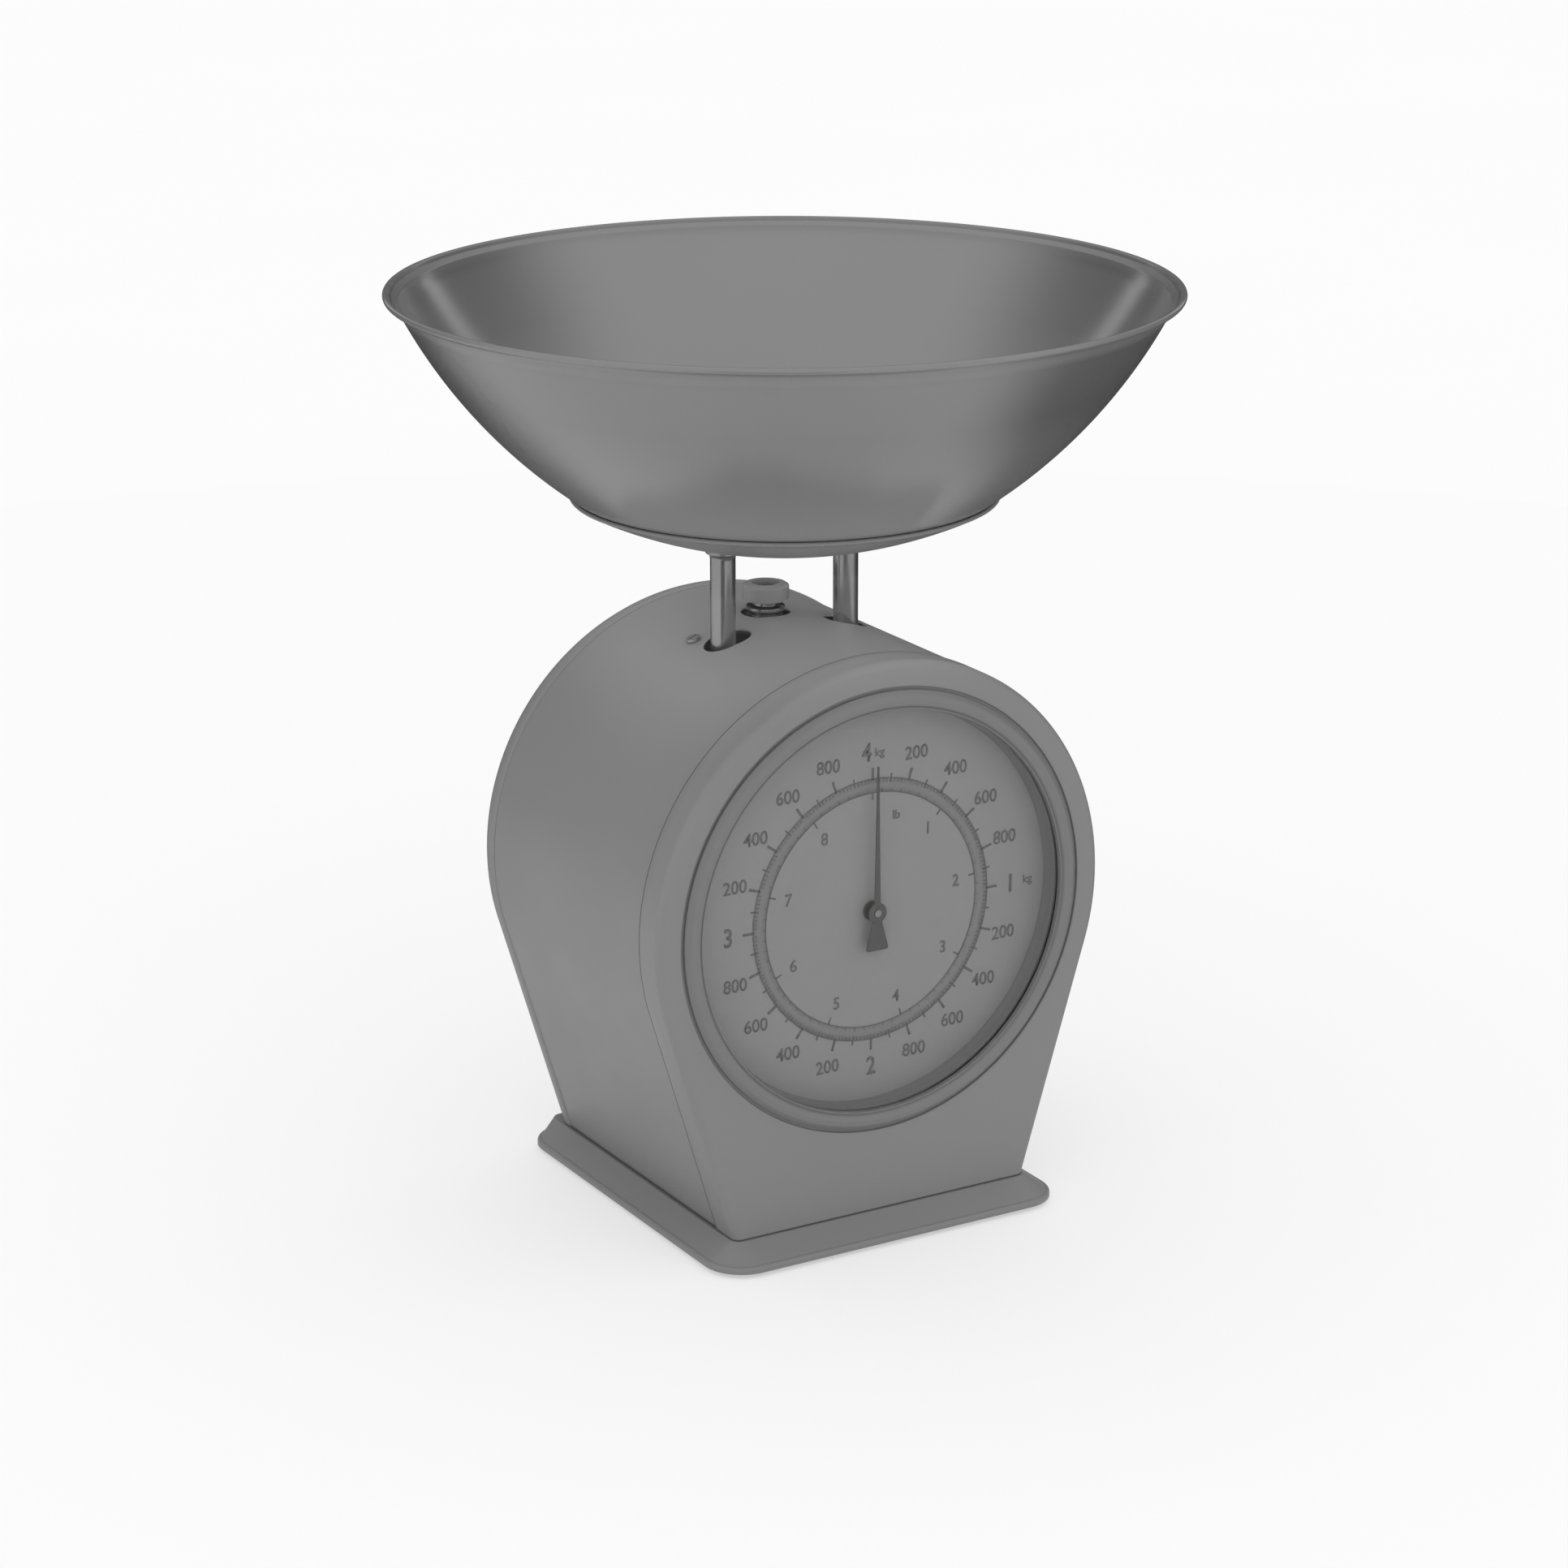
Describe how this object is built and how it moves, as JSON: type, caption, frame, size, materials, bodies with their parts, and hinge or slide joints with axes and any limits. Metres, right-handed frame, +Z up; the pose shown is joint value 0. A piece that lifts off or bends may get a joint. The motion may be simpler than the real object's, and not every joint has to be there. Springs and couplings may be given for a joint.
{
  "type": "mechanical kitchen scale",
  "caption": "Free-standing dial kitchen scale with an arched sheet-metal body, a round clock-style dial and a lift-off steel weighing bowl on a spring-loaded platter.",
  "frame": {"origin": "on the table, under the vertical axis of the weighing bowl", "axes": "+Z up, +X to the right seen from the dial side, -Y is the side that the dial faces"},
  "size_m": [0.2468, 0.2468, 0.2933],
  "materials": {
    "body_enamel": "glossy enamel",
    "bezel_finish": "glossy",
    "lens_clear": "clear",
    "dial_print": "printed card",
    "needle_paint": "satin",
    "bowl_steel": "polished",
    "platter_finish": "glossy enamel",
    "post_chrome": "bright",
    "knob_finish": "glossy",
    "collar_metal": "bright",
    "zinc_steel": "zinc plated",
    "pin_steel": "ground",
    "screw_steel": "bright",
    "brass_parts": "turned",
    "spring_steel": "drawn wire",
    "black_rubber": "matt",
    "spacer_plastic": "matt"
  },
  "bodies": {
    "housing": {"base_plate": "body_enamel", "rubber_feet": "black_rubber", "foot_screws": "screw_steel", "wrap_shell": "body_enamel", "front_cover": "body_enamel", "rear_cover": "body_enamel", "rear_cover_screws": "screw_steel", "rear_cover_brackets": "zinc_steel", "top_stiffener": "zinc_steel", "top_screws": "screw_steel", "bezel_ring": "bezel_finish", "bezel_clamp_ring": "zinc_steel", "lens": "lens_clear", "lens_spacer": "spacer_plastic", "dial_card": "dial_print", "dial_plate": "zinc_steel", "dial_pillars": "pin_steel", "bearing_plate": "zinc_steel", "front_shaft_bush": "brass_parts", "shaft_bridge": "zinc_steel", "rear_shaft_bush": "brass_parts", "main_frame": "zinc_steel", "frame_screws": "screw_steel", "upper_lever_rod": "pin_steel", "lower_lever_rod": "pin_steel", "overload_stop": "black_rubber", "extension_springs": "spring_steel"},
    "carriage": {"carriage_frame": "zinc_steel", "carriage_pins": "pin_steel", "lower_spring_pins": "pin_steel", "load_posts": "post_chrome", "post_screws": "screw_steel", "platter": "platter_finish", "platter_washers": "zinc_steel", "platter_screws": "screw_steel", "rack_arm": "zinc_steel", "rack": "brass_parts"},
    "pointer_group": {"pinion": "brass_parts", "pointer_shaft": "pin_steel", "shaft_clip": "screw_steel", "pointer": "needle_paint", "pointer_hub": "brass_parts"},
    "upper_guide_lever": {"upper_lever": "zinc_steel"},
    "lower_guide_lever": {"lower_lever": "zinc_steel"},
    "zero_adjuster": {"zero_knob": "knob_finish", "zero_collar": "collar_metal", "zero_screw": "collar_metal"},
    "spring_hanger": {"anchor_bar": "zinc_steel", "upper_spring_pins": "pin_steel"},
    "weighing_bowl": {"bowl": "bowl_steel"}
  },
  "joints": [
    {"name": "platter_travel", "type": "slide", "parent": "housing", "child": "carriage", "axis": [0, 0, -1], "range_m": [0, 0.0125], "stiffness_N_per_m": 3139, "springref_m": -0.0028, "deforming": ["extension_springs"]},
    {"name": "pointer_turn", "type": "hinge", "parent": "housing", "child": "pointer_group", "pos_m": [0, -0.0275, 0.1058], "axis": [0, 1, 0], "range_deg": [0, 385]},
    {"name": "upper_lever_tilt", "type": "hinge", "parent": "housing", "child": "upper_guide_lever", "pos_m": [0, 0.034, 0.098], "axis": [1, 0, 0], "range_deg": [0, 22.3]},
    {"name": "lower_lever_tilt", "type": "hinge", "parent": "housing", "child": "lower_guide_lever", "pos_m": [0, 0.034, 0.068], "axis": [1, 0, 0], "range_deg": [0, 22.3]},
    {"name": "zero_knob_turn", "type": "hinge", "parent": "housing", "child": "zero_adjuster", "pos_m": [0, 0.012, 0.17], "axis": [0, 0, 1], "range_deg": [-200, 200]},
    {"name": "spring_hanger_shift", "type": "slide", "parent": "housing", "child": "spring_hanger", "axis": [0, 0, 1], "range_m": [-0.0004, 0.0004]},
    {"name": "bowl_lift", "type": "slide", "parent": "carriage", "child": "weighing_bowl", "axis": [0, 0, 1], "range_m": [0, 0.08]}
  ],
  "couplings": [
    {"joint": "pointer_turn", "follows": "platter_travel", "rad_per_m": 500},
    {"joint": "upper_lever_tilt", "follows": "platter_travel", "rad_per_m": 29.412},
    {"joint": "lower_lever_tilt", "follows": "platter_travel", "rad_per_m": 29.412},
    {"joint": "zero_knob_turn", "follows": "spring_hanger_shift", "rad_per_m": -7854}
  ]
}
